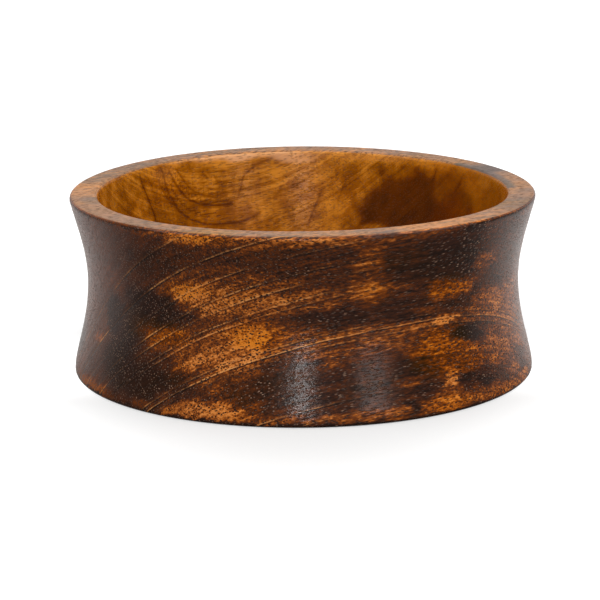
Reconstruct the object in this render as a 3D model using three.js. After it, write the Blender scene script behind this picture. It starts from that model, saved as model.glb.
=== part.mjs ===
// A turned wooden salad bowl with a waisted wall, in millimetres, +Z up.
// The bowl is one block of wood, shaped and hollowed on a lathe, so one revolved profile makes it.
// The origin is the centre of the ring that the bowl stands on.
import * as THREE from "three";

// Outside of the wall
const HEIGHT = 100;
const RIM_RADIUS = 127; // outer edge of the rim, the widest point of the bowl
const RIM_FLARE = 14.5; // degrees that the wall leans outwards where it meets the rim
const WAIST_RADIUS = 118.1; // narrowest point of the wall
const WAIST_HEIGHT = 52.6;
const FOOT_RADIUS = 126.2; // widest point of the foot
const FOOT_ROUND = 2; // radius of the turned-under lower edge

// How far the wall keeps its direction at each end of its two curves
const RIM_REACH = 14;
const WAIST_REACH_UP = 16.5;
const WAIST_REACH_DOWN = 24;
const FOOT_REACH = 9.6;

// Rim, a flat land between two eased edges
const RIM_WIDTH = 14.4;
const RIM_OUTER_EASE = 2;
const RIM_INNER_EASE = 1.4;

// Hollow, one smooth curve from the rim down to a level floor
const WAIST_WALL = 13; // thickness of the wall at the waist
const INNER_RIM_LEAN = 3; // degrees that the inner wall closes in under the rim
const INNER_WAIST_LEAN = 13; // the same at the waist
const FLOOR_RADIUS = 56; // edge of the level part of the floor
const FLOOR_THICKNESS = 12.5; // wood left between the floor and the recess under it
const INNER_WALL_REACH = 19;
const INNER_WAIST_REACH = 15;
const COVE_REACH = 31; // length of the floor's end of the cove

// Underside, hollowed a little so that the bowl stands on a ring and doesn't rock
const FOOT_RING_WIDTH = 30;
const RECESS_DEPTH = 1.6;
const RECESS_COVE = 5; // width of the curve from the ring up into the recess

// Fineness of the curves
const TURNS = 96; // facets round the bowl
const WALL_STEPS = 9; // steps in each half of the outer wall
const HOLLOW_STEPS = 8; // steps in each half of the inner wall
const EDGE_STEPS = 4; // steps round each eased edge and the recess

const WOOD = new THREE.MeshStandardMaterial({ color: 0x4a2a18, roughness: 0.42, metalness: 0 });

// The point at the distance reach from a point, at an angle in degrees counted up from the way out.
function step(point, reach, angle) {
  const turn = THREE.MathUtils.degToRad(angle);
  return new THREE.Vector2(point.x + reach * Math.cos(turn), point.y + reach * Math.sin(turn));
}

// Points of a rounded edge between two angles, both ends included.
function roundEdge(centre, radius, fromAngle, toAngle) {
  const points = [];
  for (let i = 0; i <= EDGE_STEPS; i++) {
    points.push(step(centre, radius, fromAngle + ((toAngle - fromAngle) * i) / EDGE_STEPS));
  }
  return points;
}

// Points inside a curve between two ends, each with the direction of travel there and how far it lasts.
function curveBetween(start, end, steps) {
  const curve = new THREE.CubicBezierCurve(
    start.point,
    step(start.point, start.reach, start.angle),
    step(end.point, -end.reach, end.angle),
    end.point,
  );
  return curve.getPoints(steps).slice(1, -1);
}

// The underside, from the axis out to the ring that the bowl stands on.
function undersideProfile() {
  const ringEdge = new THREE.Vector2(FOOT_RADIUS - FOOT_ROUND - FOOT_RING_WIDTH, 0);
  const recessEdge = new THREE.Vector2(ringEdge.x - RECESS_COVE, RECESS_DEPTH);
  const cove = curveBetween(
    { point: recessEdge, angle: 0, reach: RECESS_COVE / 2 },
    { point: ringEdge, angle: 0, reach: RECESS_COVE / 2 },
    EDGE_STEPS,
  );
  return [new THREE.Vector2(0, RECESS_DEPTH), recessEdge, ...cove, ringEdge];
}

// The outer wall: the turned-under lower edge, the foot, the waist, the flare and the outer edge of the rim.
function outerProfile() {
  const footCentre = new THREE.Vector2(FOOT_RADIUS - FOOT_ROUND, FOOT_ROUND);
  const rimCentre = new THREE.Vector2(RIM_RADIUS - RIM_OUTER_EASE, HEIGHT - RIM_OUTER_EASE);
  const foot = roundEdge(footCentre, FOOT_ROUND, -90, 0);
  const rim = roundEdge(rimCentre, RIM_OUTER_EASE, -RIM_FLARE, 90);
  const waist = new THREE.Vector2(WAIST_RADIUS, WAIST_HEIGHT);
  const lower = curveBetween(
    { point: foot.at(-1), angle: 90, reach: FOOT_REACH },
    { point: waist, angle: 90, reach: WAIST_REACH_DOWN },
    WALL_STEPS,
  );
  const upper = curveBetween(
    { point: waist, angle: 90, reach: WAIST_REACH_UP },
    { point: rim[0], angle: 90 - RIM_FLARE, reach: RIM_REACH },
    WALL_STEPS,
  );
  return [...foot, ...lower, waist, ...upper, ...rim];
}

// The hollow: the inner edge of the rim, the inner wall, the cove and the level floor to the axis.
function innerProfile() {
  const edgeCentre = new THREE.Vector2(RIM_RADIUS - RIM_WIDTH + RIM_INNER_EASE, HEIGHT - RIM_INNER_EASE);
  const edge = roundEdge(edgeCentre, RIM_INNER_EASE, 90, 180 - INNER_RIM_LEAN);
  const waist = new THREE.Vector2(WAIST_RADIUS - WAIST_WALL, WAIST_HEIGHT);
  const floorEdge = new THREE.Vector2(FLOOR_RADIUS, RECESS_DEPTH + FLOOR_THICKNESS);
  const wall = curveBetween(
    { point: edge.at(-1), angle: -90 - INNER_RIM_LEAN, reach: INNER_WALL_REACH },
    { point: waist, angle: -90 - INNER_WAIST_LEAN, reach: INNER_WAIST_REACH },
    HOLLOW_STEPS,
  );
  const cove = curveBetween(
    { point: waist, angle: -90 - INNER_WAIST_LEAN, reach: INNER_WAIST_REACH },
    { point: floorEdge, angle: 180, reach: COVE_REACH },
    HOLLOW_STEPS,
  );
  return [...edge, ...wall, waist, ...cove, floorEdge, new THREE.Vector2(0, floorEdge.y)];
}

// The whole block, revolved. A lathe geometry turns about +Y, so the bowl is stood up on +Z.
function bowlBody() {
  const profile = [...undersideProfile(), ...outerProfile(), ...innerProfile()];
  const body = new THREE.Mesh(new THREE.LatheGeometry(profile, TURNS), WOOD);
  body.name = "bowl_body";
  body.rotation.x = Math.PI / 2;
  return body;
}

const bowl = new THREE.Group();
bowl.add(bowlBody());

export default bowl;
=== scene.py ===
"""A lathe-turned wooden salad bowl: scorched and oiled outside, sanded on the rim, honey-coloured inside.

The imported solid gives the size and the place. This script turns the surface that is seen, with the movement of
the dried wood and the ridges of its growth rings, and finishes it: the figure of the block, its pores, the
scorch marks and the satin sheen. Lengths are in millimetres up to the point where a mesh or a light is made.
"""
import logging
import math
from dataclasses import dataclass
from enum import IntEnum
from typing import Any, Sequence

import bpy
import numpy as np
from mathutils import Matrix, Vector, noise


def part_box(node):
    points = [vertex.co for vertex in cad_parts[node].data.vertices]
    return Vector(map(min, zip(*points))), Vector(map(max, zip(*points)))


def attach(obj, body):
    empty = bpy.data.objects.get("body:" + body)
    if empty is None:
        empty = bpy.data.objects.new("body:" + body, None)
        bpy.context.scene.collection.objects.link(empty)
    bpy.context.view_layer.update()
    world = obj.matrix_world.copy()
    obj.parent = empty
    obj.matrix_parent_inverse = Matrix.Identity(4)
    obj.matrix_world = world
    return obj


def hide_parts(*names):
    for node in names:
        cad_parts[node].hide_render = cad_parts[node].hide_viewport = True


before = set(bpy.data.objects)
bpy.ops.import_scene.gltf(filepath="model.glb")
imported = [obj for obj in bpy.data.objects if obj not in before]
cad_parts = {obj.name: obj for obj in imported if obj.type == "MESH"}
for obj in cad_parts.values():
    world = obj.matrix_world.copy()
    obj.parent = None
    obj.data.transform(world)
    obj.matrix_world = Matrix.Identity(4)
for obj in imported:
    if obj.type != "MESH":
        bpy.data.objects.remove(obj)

log = logging.getLogger("salad_bowl")

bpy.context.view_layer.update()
CAD_NODE = "bowl_body"
BODY = "root"
METRE = 1000.0  # millimetres
RING_ARC = 300.0  # mm from the pith at which an angle round it is taken as a length
WELD = 2e-6  # metres within which points of the turned surface are joined

Pair = tuple[float, float]
Colour = tuple[float, float, float]


def linked(name: str, data: bpy.types.ID) -> bpy.types.Object:
    """Adds an object to the scene.

    Args:
        name: its name.
        data: the mesh, lamp or camera that it shows.

    Returns:
        The object.
    """
    made = bpy.data.objects.new(name, data)
    bpy.context.scene.collection.objects.link(made)
    return made


# Node trees written as sums


@dataclass(frozen=True)
class Wire:
    """An output socket that takes part in Python sums, each of which adds a Math node."""

    bench: "Bench"
    socket: bpy.types.NodeSocket

    def __add__(self, other: "Wire | float") -> "Wire":
        """The sum of this value and another."""
        return self.bench.math("ADD", self, other)

    def __radd__(self, other: float) -> "Wire":
        """The sum of a number and this value."""
        return self.bench.math("ADD", other, self)

    def __sub__(self, other: "Wire | float") -> "Wire":
        """This value less another."""
        return self.bench.math("SUBTRACT", self, other)

    def __rsub__(self, other: float) -> "Wire":
        """A number less this value."""
        return self.bench.math("SUBTRACT", other, self)

    def __mul__(self, other: "Wire | float") -> "Wire":
        """The product of this value and another."""
        return self.bench.math("MULTIPLY", self, other)

    def __rmul__(self, other: float) -> "Wire":
        """The product of a number and this value."""
        return self.bench.math("MULTIPLY", other, self)

    def __truediv__(self, other: "Wire | float") -> "Wire":
        """This value divided by another."""
        return self.bench.math("DIVIDE", self, other)

    def __rtruediv__(self, other: float) -> "Wire":
        """A number divided by this value."""
        return self.bench.math("DIVIDE", other, self)


Value = Wire | float | Sequence[float]


@dataclass(frozen=True)
class Bench:
    """A node tree to which a finish or a shape adds its nodes."""

    tree: bpy.types.NodeTree

    def add(self, kind: str, settings: dict[str, Any] | None = None,
            inputs: dict[str | int, Value] | None = None) -> bpy.types.Node:
        """Adds one node.

        Args:
            kind: the node's type.
            settings: its properties, set before its sockets. "stops" are the stops of a colour ramp.
            inputs: values or wires by socket name or index.

        Returns:
            The node.
        """
        made = self.tree.nodes.new(kind)
        for name, value in (settings or {}).items():
            if name == "stops":
                self._set_stops(made.color_ramp, value)
            else:
                setattr(made, name, value)
        for key, value in (inputs or {}).items():
            if isinstance(value, Wire):
                self.tree.links.new(value.socket, made.inputs[key])
            else:
                made.inputs[key].default_value = value
        return made

    def node(self, kind: str, settings: dict[str, Any] | None = None,
             inputs: dict[str | int, Value] | None = None, output: str | int = 0) -> Wire:
        """Adds one node and takes one of its outputs."""
        return Wire(self, self.add(kind, settings, inputs).outputs[output])

    @staticmethod
    def _set_stops(ramp: bpy.types.ColorRamp, stops: Sequence[tuple[float, Colour]]) -> None:
        """Writes a colour ramp's stops.

        Args:
            ramp: the ramp, which starts with two stops.
            stops: position and colour of each, in order.
        """
        while len(ramp.elements) < len(stops):
            ramp.elements.new(1.0)
        for element, (position, colour) in zip(ramp.elements, stops):
            element.position = position
            element.color = (*colour, 1.0)

    def math(self, operation: str, *values: Wire | float, clamp: bool = False) -> Wire:
        """Adds a Math node.

        Args:
            operation: its operation.
            values: its operands.
            clamp: whether the result is held between 0 and 1.

        Returns:
            The result.
        """
        settings = {"operation": operation, "use_clamp": clamp}
        return self.node("ShaderNodeMath", settings, dict(enumerate(values)))

    def vector(self, operation: str, *values: Value, output: str | int = 0) -> Wire:
        """Adds a Vector Math node.

        Args:
            operation: its operation.
            values: its operands, in the order of its sockets.
            output: "Vector" or "Value".

        Returns:
            The result.
        """
        return self.node("ShaderNodeVectorMath", {"operation": operation}, dict(enumerate(values)), output)

    def scaled(self, vector: Wire, factor: Value) -> Wire:
        """A vector times a number."""
        return self.node("ShaderNodeVectorMath", {"operation": "SCALE"}, {0: vector, "Scale": factor})

    def combined(self, x: Value, y: Value, z: Value) -> Wire:
        """A vector made of three values."""
        return self.node("ShaderNodeCombineXYZ", None, {"X": x, "Y": y, "Z": z})

    def parts(self, vector: Wire) -> tuple[Wire, ...]:
        """The three numbers that a vector is made of."""
        outputs = self.add("ShaderNodeSeparateXYZ", None, {0: vector}).outputs
        return tuple(Wire(self, outputs[axis]) for axis in "XYZ")

    def attribute(self, name: str) -> Wire:
        """A number that is stored on the mesh."""
        return self.node("ShaderNodeAttribute", {"attribute_name": name}, output="Fac")

    def step(self, value: Value, low: float, high: float, start: float = 0.0, end: float = 1.0) -> Wire:
        """A soft step: start below low, end above high.

        Args:
            value: what is compared.
            low: where the step begins. It may be above high, and the step then falls.
            high: where it ends.
            start: the result before the step.
            end: the result after it.

        Returns:
            The stepped value.
        """
        if low > high:
            low, high, start, end = high, low, end, start
        return self.node("ShaderNodeMapRange", {"interpolation_type": "SMOOTHSTEP"},
                         {"Value": value, "From Min": low, "From Max": high, "To Min": start, "To Max": end})

    def noise(self, place: Wire, scale: float, detail: float = 3.0, roughness: float = 0.5) -> Wire:
        """Cloudy noise from 0 to 1 at a place.

        Args:
            place: the coordinates.
            scale: repeats for each unit of them.
            detail: octaves.
            roughness: how strong the finer octaves are.

        Returns:
            The noise's value.
        """
        return self.node("ShaderNodeTexNoise", {"noise_dimensions": "3D", "normalize": True},
                         {"Vector": place, "Scale": scale, "Detail": detail, "Roughness": roughness}, "Fac")

    def bands(self, along: Wire, detail: float, roughness: float = 0.5) -> Wire:
        """Noise from 0 to 1 that changes with one number."""
        return self.node("ShaderNodeTexNoise", {"noise_dimensions": "1D", "normalize": True},
                         {"W": along, "Scale": 1.0, "Detail": detail, "Roughness": roughness}, "Fac")

    def mixed(self, factor: Value, low: Value, high: Value) -> Wire:
        """Mixes two colours.

        Args:
            factor: 0 for low, 1 for high.
            low: a colour or a wire.
            high: a colour or a wire.

        Returns:
            The mixed colour.
        """
        ends = {key: end if isinstance(end, Wire) else (*end, 1.0) for key, end in ((6, low), (7, high))}
        return self.node("ShaderNodeMix", {"data_type": "RGBA"}, {0: factor, **ends}, 2)

    def ramp(self, value: Wire, stops: Sequence[tuple[float, Colour]]) -> Wire:
        """A colour ramp over a value."""
        return self.node("ShaderNodeValToRGB", {"stops": stops}, {"Fac": value})


def bench_of(owner: bpy.types.Material | bpy.types.World) -> Bench:
    """Clears the nodes of a material or a world.

    Args:
        owner: the material or the world.

    Returns:
        The bench for its new nodes.
    """
    owner.use_nodes = True
    owner.node_tree.nodes.clear()
    return Bench(owner.node_tree)


# The block of wood that the bowl is cut from


@dataclass(frozen=True)
class Block:
    """Where the growth rings and the grain lie in the block, in the bowl's frame."""

    grain_bearing: float = 22.1  # degrees from +X towards +Y
    grain_climb: float = 4.6  # degrees above level
    pith_front: float = 226.7  # mm that the pith lies in front of the bowl's axis, across the grain
    pith_below: float = 184.7  # mm that it lies below the table
    # Radii of the rings that stand out on the photographed side, from the pith, with how strongly each shows
    # near the end grain on the left and along the side grain on the right
    marked_rings: tuple[tuple[float, float, float], ...] = (
        (219.7, 0.5, 0.15), (226.5, 0.75, 0.3), (254.6, 0.3, 0.5), (257.5, 1.0, 0.75), (260.3, 0.6, 0.45),
        (277.0, 0.5, 0.2), (279.7, 0.6, 0.1), (286.3, 0.8, 0.15), (291.6, 0.9, 0.15), (300.4, 0.55, 0.1),
        (311.0, 1.0, 0.2), (324.9, 0.65, 0.2), (396.0, 0.4, 0.6), (409.0, 0.5, 0.9), (411.5, 0.3, 0.5),
        (424.0, 0.6, 0.7), (437.0, 0.4, 0.9),
    )

    def axes(self) -> tuple[Vector, Vector, Vector]:
        """The directions along the grain, away from the pith in plan, and up across the grain.

        Returns:
            Three unit vectors.
        """
        turn, climb = math.radians(self.grain_bearing), math.radians(self.grain_climb)
        along = Vector((math.cos(climb) * math.cos(turn), math.cos(climb) * math.sin(turn), math.sin(climb)))
        away = Vector((-math.sin(turn), math.cos(turn), 0.0))
        return along, away, along.cross(away)


@dataclass(frozen=True)
class Place:
    """Wires for where a point lies in the block, all in millimetres."""

    point: Wire
    along: Wire
    away: Wire
    above: Wire
    ring: Wire
    round: Wire  # distance round the pith

    @classmethod
    def at(cls, point: Wire, block: Block, waviness: float) -> "Place":
        """Works out the coordinates in the block.

        Args:
            point: the point in the bowl's frame.
            block: the block's geometry.
            waviness: how far the rings wander.

        Returns:
            The place in the block.
        """
        bench = point.bench
        along, away, above = (bench.vector("DOT_PRODUCT", point, tuple(axis), output="Value")
                              for axis in block.axes())
        away, above = away + block.pith_front, above + block.pith_below
        ring = bench.math("SQRT", away * away + above * above)
        ring = ring + (bench.noise(point, 0.035, 2.0) - 0.5) * (2 * waviness)
        return cls(point, along, away, above, ring, bench.math("ARCTAN2", above, away) * RING_ARC)

    def stretched(self, by: float) -> Wire:
        """Coordinates on which a pattern is drawn out along the grain so many times."""
        return self.point.bench.combined(self.along * (1.0 / by), self.away, self.above)

    def layered(self, by: float, round_by: float) -> Wire:
        """Coordinates on which a pattern is drawn out along the grain and round the growth rings."""
        return self.point.bench.combined(self.along * (1.0 / by), self.round * (1.0 / round_by), self.ring)


# The turned body


class Zone(IntEnum):
    """The faces of the bowl, in the order in which the profile passes them."""

    UNDERSIDE = 0
    OUTSIDE = 1
    RIM = 2
    INSIDE = 3


@dataclass(frozen=True)
class ProfilePoint:
    """A point of the profile: its distance from the axis, its height, and the face that it is on."""

    radius: float
    height: float
    zone: float


@dataclass
class BowlProfile:
    """Half of the bowl's section, in millimetres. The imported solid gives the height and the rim."""

    height: float
    rim_radius: float
    rim_flare: float = 14.5
    rim_reach: float = 14.0
    rim_width: float = 15.4
    outer_ease: float = 2.0
    inner_ease: float = 2.4
    waist_radius: float = 118.1
    waist_height: float = 52.6
    waist_reach_up: float = 16.5
    waist_reach_down: float = 24.0
    foot_radius: float = 126.2
    foot_round: float = 2.0
    foot_reach: float = 9.6
    waist_wall: float = 13.0
    inner_rim_lean: float = 3.0
    inner_waist_lean: float = 13.0
    inner_wall_reach: float = 19.0
    inner_waist_reach: float = 15.0
    floor_radius: float = 56.0
    floor_thickness: float = 12.5
    cove_reach: float = 31.0
    ring_width: float = 30.0
    recess_depth: float = 1.6
    recess_cove: float = 5.0
    wall_pitch: float = 1.25  # spacing of the mesh up the outer wall
    inner_wall_steps: int = 26
    cove_steps: int = 15
    land_steps: int = 8  # across the flat of the rim
    level_steps: int = 7  # from the axis outwards
    ring_steps: int = 4
    edge_steps: int = 5  # round an eased edge
    rim_edge_steps: int = 6

    @staticmethod
    def _aim(point: Pair, reach: float, angle: float) -> Pair:
        """The point at a distance and an angle in degrees from another."""
        turn = math.radians(angle)
        return point[0] + reach * math.cos(turn), point[1] + reach * math.sin(turn)

    def _arc(self, centre: Pair, radius: float, start: float, end: float,
             zones: Pair, steps: int) -> list[ProfilePoint]:
        """A rounded edge.

        Args:
            centre: its centre.
            radius: its radius.
            start: its first angle in degrees.
            end: its last angle.
            zones: the faces that it passes from and to.
            steps: steps round it.

        Returns:
            Its points, both ends included.
        """
        points = []
        for i in range(steps + 1):
            share = i / steps
            r, z = self._aim(centre, radius, start + (end - start) * share)
            points.append(ProfilePoint(r, z, zones[0] + (zones[1] - zones[0]) * share))
        return points

    def _curve(self, start: Pair, leave: float, reach: float, end: Pair,
               arrive: float, end_reach: float, zone: Zone, steps: int) -> list[ProfilePoint]:
        """A tangent curve between two ends, which are left to its neighbours.

        Args:
            start: the first end.
            leave: the direction of travel there, in degrees.
            reach: how far it is kept.
            end: the last end.
            arrive: the direction of travel there.
            end_reach: how far it is kept.
            zone: the face that it is on.
            steps: steps along it.

        Returns:
            The points between the ends.
        """
        handles = (start, self._aim(start, reach, leave), self._aim(end, -end_reach, arrive), end)
        points = []
        for i in range(1, steps):
            t = i / steps
            weights = ((1 - t) ** 3, 3 * (1 - t) ** 2 * t, 3 * (1 - t) * t * t, t ** 3)
            r, z = (sum(w * h[k] for w, h in zip(weights, handles)) for k in (0, 1))
            points.append(ProfilePoint(r, z, zone))
        return points

    def underside(self) -> list[ProfilePoint]:
        """The recess and the ring that the bowl stands on.

        Returns:
            The points from the axis outwards, without the ring's last.
        """
        foot_start = self.foot_radius - self.foot_round
        ring_edge = (foot_start - self.ring_width, 0.0)
        recess_edge = (ring_edge[0] - self.recess_cove, self.recess_depth)
        level = [ProfilePoint(recess_edge[0] * i / self.level_steps, self.recess_depth, Zone.UNDERSIDE)
                 for i in range(self.level_steps + 1)]
        cove = self._curve(recess_edge, 0, self.recess_cove / 2, ring_edge, 0, self.recess_cove / 2,
                           Zone.UNDERSIDE, self.edge_steps)
        ring = [ProfilePoint(ring_edge[0] + (foot_start - ring_edge[0]) * i / self.ring_steps, 0.0,
                             Zone.UNDERSIDE) for i in range(self.ring_steps)]
        return level + cove + ring

    def outside(self) -> list[ProfilePoint]:
        """The turned-under edge, the waisted wall and the outer edge of the rim.

        Returns:
            The points from the foot upwards.
        """
        foot = self._arc((self.foot_radius - self.foot_round, self.foot_round), self.foot_round, -90, 0,
                         (Zone.UNDERSIDE + 0.4, Zone.OUTSIDE), self.edge_steps)
        rim = self._arc((self.rim_radius - self.outer_ease, self.height - self.outer_ease), self.outer_ease,
                        -self.rim_flare, 90, (Zone.OUTSIDE, Zone.RIM), self.rim_edge_steps)
        waist = (self.waist_radius, self.waist_height)
        foot_end, rim_start = (foot[-1].radius, foot[-1].height), (rim[0].radius, rim[0].height)
        lower_steps = round((waist[1] - foot_end[1]) / self.wall_pitch)
        upper_steps = round((rim_start[1] - waist[1]) / self.wall_pitch)
        lower = self._curve(foot_end, 90, self.foot_reach, waist, 90, self.waist_reach_down,
                            Zone.OUTSIDE, lower_steps)
        upper = self._curve(waist, 90, self.waist_reach_up, rim_start, 90 - self.rim_flare, self.rim_reach,
                            Zone.OUTSIDE, upper_steps)
        return [*foot, *lower, ProfilePoint(*waist, Zone.OUTSIDE), *upper, *rim]

    def inside(self) -> list[ProfilePoint]:
        """The flat of the rim, its inner edge, the inner wall, the cove and the floor.

        Returns:
            The points from the rim to the axis.
        """
        inner_radius = self.rim_radius - self.rim_width
        edge = self._arc((inner_radius + self.inner_ease, self.height - self.inner_ease), self.inner_ease, 90,
                         180 - self.inner_rim_lean, (Zone.RIM, Zone.INSIDE), self.edge_steps)
        land_start, land_end = self.rim_radius - self.outer_ease, inner_radius + self.inner_ease
        land = [ProfilePoint(land_start + (land_end - land_start) * i / self.land_steps, self.height, Zone.RIM)
                for i in range(1, self.land_steps)]
        waist = (self.waist_radius - self.waist_wall, self.waist_height)
        floor = (self.floor_radius, self.recess_depth + self.floor_thickness)
        wall = self._curve((edge[-1].radius, edge[-1].height), -90 - self.inner_rim_lean, self.inner_wall_reach,
                           waist, -90 - self.inner_waist_lean, self.inner_waist_reach, Zone.INSIDE,
                           self.inner_wall_steps)
        cove = self._curve(waist, -90 - self.inner_waist_lean, self.inner_waist_reach, floor, 180,
                           self.cove_reach, Zone.INSIDE, self.cove_steps)
        level = [ProfilePoint(floor[0] * (self.level_steps - i) / self.level_steps, floor[1], Zone.INSIDE)
                 for i in range(self.level_steps + 1)]
        return [*land, *edge, *wall, ProfilePoint(*waist, Zone.INSIDE), *cove, *level]

    def points(self) -> list[ProfilePoint]:
        """The whole profile, from the axis under the bowl to the axis on its floor."""
        return self.underside() + self.outside() + self.inside()


class Turning:
    """The node tree that turns a profile into the bowl, lets the wood move and raises its rings."""

    INPUTS: tuple[tuple[str, str], ...] = (
        ("Profile", "Geometry"), ("Facets round", "Int"), ("Height", "Float"), ("Rim sag", "Float"),
        ("Sag bearing", "Float"), ("Ring relief", "Float"), ("Seed", "Float"), ("Wood", "Material"),
    )

    def __init__(self, block: Block) -> None:
        """Builds the tree.

        Args:
            block: where the rings lie.
        """
        self.tree = bpy.data.node_groups.new("turned_bowl", "GeometryNodeTree")
        self.bench = Bench(self.tree)
        for name, kind in self.INPUTS:
            self.tree.interface.new_socket(name, in_out="INPUT", socket_type=f"NodeSocket{kind}")
        self.tree.interface.new_socket("Bowl", in_out="OUTPUT", socket_type="NodeSocketGeometry")
        self.entry = self.bench.add("NodeGroupInput")
        self._wire(block)

    def _given(self, name: str) -> Wire:
        """One of the tree's named inputs."""
        return Wire(self.bench, self.entry.outputs[name])

    def _zone(self) -> Wire:
        """The face that each point is on."""
        return self.bench.node("GeometryNodeInputNamedAttribute", {"data_type": "FLOAT"}, {"Name": "zone"},
                               "Attribute")

    def _sampled(self, value: Wire, row: Wire, kind: str) -> Wire:
        """A value of the profile at one of its points."""
        return self.bench.node("GeometryNodeSampleIndex", {"data_type": kind, "domain": "POINT"},
                               {"Geometry": self._given("Profile"), "Value": value, "Index": row}, "Value")

    def _wire(self, block: Block) -> None:
        """Adds the nodes: a grid is rolled round the axis, closed, moved and raised.

        Args:
            block: where the rings lie.
        """
        bench = self.bench
        rows = bench.node("GeometryNodeAttributeDomainSize", {"component": "MESH"},
                          {"Geometry": self._given("Profile")}, "Point Count")
        shape = bench.node("GeometryNodeMeshGrid", None,
                           {"Size X": 1.0, "Size Y": 1.0, "Vertices X": self._given("Facets round") + 1,
                            "Vertices Y": rows}, "Mesh")
        here = bench.node("GeometryNodeInputPosition")
        across, down, _ = bench.parts(here)
        row = bench.math("ROUND", (down + 0.5) * (rows - 1))
        radius, _, height = bench.parts(self._sampled(here, row, "FLOAT_VECTOR"))
        bearing = (across + 0.5) * math.tau
        turned = bench.combined(radius * bench.math("SINE", bearing),
                                0.0 - radius * bench.math("COSINE", bearing), height)
        shape = bench.node("GeometryNodeStoreNamedAttribute", {"data_type": "FLOAT", "domain": "POINT"},
                           {"Geometry": shape, "Name": "zone", "Value": self._sampled(self._zone(), row, "FLOAT")})
        for kind, inputs in (
                ("SetPosition", {"Position": turned}),
                ("MergeByDistance", {"Distance": WELD}),
                ("SetPosition", {"Offset": self._sag()}),
                ("SetPosition", {"Offset": self._relief(block)}),
                ("SetShadeSmooth", {"Shade Smooth": True}),
                ("RealizeInstances", {}),
                ("SetMaterial", {"Material": self._given("Wood")})):
            shape = bench.node("GeometryNode" + kind, None, {"Geometry": shape, **inputs})
        bench.add("NodeGroupOutput", None, {"Bowl": shape})

    def _sag(self) -> Wire:
        """How far each point sinks: the wall has dropped along the grain as the wood dried, least at the foot.

        Returns:
            The offset.
        """
        bench = self.bench
        x, y, z = bench.parts(bench.node("GeometryNodeInputPosition"))
        bearing = bench.math("ARCTAN2", x, 0.0 - y) - self._given("Sag bearing")
        swing = 0.5 - 0.5 * bench.math("COSINE", bearing * 2.0)
        return bench.combined(0.0, 0.0, 0.0 - swing * self._given("Rim sag") * (z / self._given("Height")))

    def _relief(self, block: Block) -> Wire:
        """How far each point lies under the turned surface, where soft wood has sunk between the rings.

        Args:
            block: where the rings lie.

        Returns:
            The offset, which is nothing under the bowl and slight on the flat of the rim.
        """
        bench, zone = self.bench, self._zone()
        place = Place.at(bench.scaled(bench.node("GeometryNodeInputPosition"), METRE), block, 0.6)
        bands = bench.bands(place.ring * 0.33 + self._given("Seed"), 2.0)
        off_table = bench.step(zone, Zone.UNDERSIDE + 0.4, Zone.OUTSIDE)
        off_land = 1.0 - 0.8 * bench.step(bench.math("ABSOLUTE", zone - Zone.RIM), 0.9, 0.2)
        depth = bench.step(bands, 0.35, 0.65) * off_table * off_land * self._given("Ring relief")
        return bench.scaled(bench.node("GeometryNodeInputNormal"), 0.0 - depth)

    def apply(self, profile: bpy.types.Object, name: str, values: dict[str, Any]) -> bpy.types.Object:
        """Runs the tree on a profile and keeps the result as a plain mesh.

        Args:
            profile: the profile's mesh object, which is removed.
            name: the new piece's name.
            values: the named inputs.

        Returns:
            The piece, with no modifier.
        """
        modifier = profile.modifiers.new("turning", "NODES")
        modifier.node_group = self.tree
        sockets = {item.name: item.identifier for item in self.tree.interface.items_tree
                   if item.item_type == "SOCKET" and item.in_out == "INPUT"}
        for key, value in values.items():
            modifier[sockets[key]] = value
        graph = bpy.context.evaluated_depsgraph_get()
        mesh = bpy.data.meshes.new_from_object(profile.evaluated_get(graph), depsgraph=graph)
        profile.modifiers.remove(modifier)
        bpy.data.objects.remove(profile)
        mesh.name = name
        return linked(name, mesh)


# Scorch marks, painted as soft-edged patches


@dataclass(frozen=True)
class Wall:
    """Points of a wall: bearings in degrees to the right of the front, and heights in millimetres."""

    bearing: np.ndarray
    height: np.ndarray
    radius: float  # mm, which makes a length of an angle

    def beside(self, bearing: float) -> np.ndarray:
        """How far the points lie to the right of a bearing, in millimetres."""
        return ((self.bearing - bearing + 180.0) % 360.0 - 180.0) * math.radians(self.radius)

    def line_offset(self, start: Pair, end: Pair) -> tuple[np.ndarray, np.ndarray]:
        """Distances to a straight line, and the place on it that each is measured to.

        Args:
            start: its first bearing and height.
            end: its last bearing and height.

        Returns:
            Millimetres, positive on the line's left, and the share of the line's length.
        """
        x, y = self.beside(start[0]), self.height - start[1]
        run, rise = (end[0] - start[0]) * math.radians(self.radius), end[1] - start[1]
        along = np.clip((x * run + y * rise) / (run * run + rise * rise), 0.0, 1.0)
        side = np.where(run * y - rise * x < 0.0, -1.0, 1.0)
        return side * np.hypot(x - along * run, y - along * rise), along


def unit(rows: np.ndarray) -> np.ndarray:
    """Rows of vectors, each made one long. A row of nothing stays so."""
    return rows / np.maximum(np.linalg.norm(rows, axis=1), 1e-6)[:, None]


def eased(share: np.ndarray) -> np.ndarray:
    """A share held between 0 and 1, with soft ends."""
    share = np.clip(share, 0.0, 1.0)
    return share * share * (3.0 - 2.0 * share)


@dataclass(frozen=True)
class Mark:
    """An oval of one depth of scorch. 0 is bare stained wood, and 1 is nearly black."""

    bearing: float  # degrees to the right of the front
    height: float  # mm above the table
    half_width: float  # degrees
    half_rise: float  # mm
    char: float
    climb: float = 0.0  # mm that the oval rises for each degree to the right

    def share(self, wall: Wall) -> np.ndarray:
        """How strongly the oval shows at each point of a wall.

        Args:
            wall: the points.

        Returns:
            1 in the middle, falling to 0 a third of its size outside it.
        """
        aside = wall.beside(self.bearing) / math.radians(wall.radius)
        up = wall.height - self.height - self.climb * aside
        return eased((1.35 - np.hypot(aside / self.half_width, up / self.half_rise)) / 0.8)


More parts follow.
